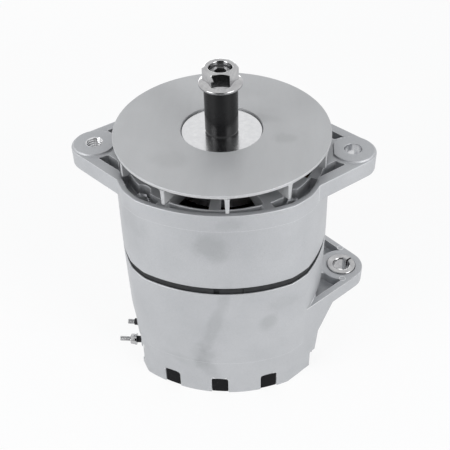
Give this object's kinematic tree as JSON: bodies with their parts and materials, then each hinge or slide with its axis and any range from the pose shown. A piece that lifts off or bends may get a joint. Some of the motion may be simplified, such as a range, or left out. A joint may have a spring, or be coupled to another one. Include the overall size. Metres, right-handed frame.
{
  "type": "engine alternator",
  "caption": "Brushless engine alternator with a hinge mount, a tapped adjusting ear, a bladed fan disc and a sleeved shaft that takes a drive pulley.",
  "frame": {"origin": "on the shaft axis in the plane of the rear rim, on which the part stands", "axes": "+Z along the shaft towards the pulley nut, +X towards the two hinge lugs, -X towards the adjusting ear and the terminals"},
  "size_m": [0.2274, 0.1618, 0.2579],
  "materials": {
    "cast_aluminium": "fine blasted casting, satin",
    "fan_aluminium": "machined disc, matt",
    "machined_bright": "finely turned, bright",
    "bearing_steel": "ground and polished",
    "dark_steel": "machined, oiled",
    "zinc_plate": "bright zinc plate",
    "lamination_black": "baked varnish, satin",
    "black_paint": "semi-gloss",
    "black_plastic": "moulded, matt",
    "black_rubber": "matt",
    "copper_winding": "enamelled wire, varnished",
    "cage_brass": "pressed, satin"
  },
  "bodies": {
    "housing": {"drive_end_frame": "cast_aluminium", "rear_frame": "cast_aluminium", "stator_core": "lamination_black", "stator_winding": "copper_winding", "phase_leads": "black_rubber", "through_bolts": "zinc_plate", "through_bolt_washers": "zinc_plate", "front_bearing_outer_race": "bearing_steel", "front_bearing_retainer": "zinc_plate", "retainer_screws": "zinc_plate", "front_grease_seal": "black_rubber", "rear_bearing_outer_race": "bearing_steel", "rear_grease_cap": "zinc_plate", "field_coil_support": "dark_steel", "field_coil_bobbin": "black_plastic", "field_coil_winding": "copper_winding", "field_coil_screws": "zinc_plate", "rectifier_heatsink_positive": "cast_aluminium", "rectifier_heatsink_negative": "cast_aluminium", "rectifier_insulators": "black_plastic", "rectifier_screws": "zinc_plate", "rectifier_diodes": "bearing_steel", "diode_trio": "black_plastic", "regulator": "black_plastic", "regulator_screws": "zinc_plate", "capacitor": "zinc_plate", "end_cover": "black_paint", "end_cover_screws": "zinc_plate", "output_stud": "zinc_plate", "output_stud_insulator": "black_plastic", "output_stud_nut": "zinc_plate", "relay_stud": "zinc_plate", "relay_stud_insulator": "black_plastic", "relay_stud_washer": "zinc_plate", "relay_stud_nut": "zinc_plate", "indicator_stud": "zinc_plate", "indicator_stud_insulator": "black_plastic"},
    "rotor": {"shaft": "dark_steel", "fan": "fan_aluminium", "fan_hub": "machined_bright", "pulley_nut": "zinc_plate", "shaft_sleeve": "black_paint", "bearing_collar": "dark_steel", "pole_front": "dark_steel", "pole_rear": "dark_steel", "pole_ring": "machined_bright", "front_bearing_inner_race": "bearing_steel", "rear_bearing_inner_race": "bearing_steel"},
    "front_ball_set": {"front_bearing_balls": "bearing_steel", "front_bearing_cage": "cage_brass"},
    "rear_ball_set": {"rear_bearing_balls": "bearing_steel", "rear_bearing_cage": "cage_brass"},
    "adjusting_bushing": {"hinge_bushing": "zinc_plate"}
  },
  "joints": [
    {"name": "rotor_spin", "type": "hinge", "parent": "housing", "child": "rotor", "pos_m": [0, 0, 0.12], "axis": [0, 0, 1], "continuous": true},
    {"name": "front_ball_set_spin", "type": "hinge", "parent": "housing", "child": "front_ball_set", "pos_m": [0, 0, 0.1725], "axis": [0, 0, 1], "continuous": true},
    {"name": "rear_ball_set_spin", "type": "hinge", "parent": "housing", "child": "rear_ball_set", "pos_m": [0, 0, 0.058], "axis": [0, 0, 1], "continuous": true},
    {"name": "bushing_slide", "type": "slide", "parent": "housing", "child": "adjusting_bushing", "axis": [0, 0, 1], "range_m": [-0.001, 0.003]}
  ],
  "couplings": [
    {"joint": "front_ball_set_spin", "follows": "rotor_spin", "ratio": 0.3678},
    {"joint": "rear_ball_set_spin", "follows": "rotor_spin", "ratio": 0.3816}
  ]
}
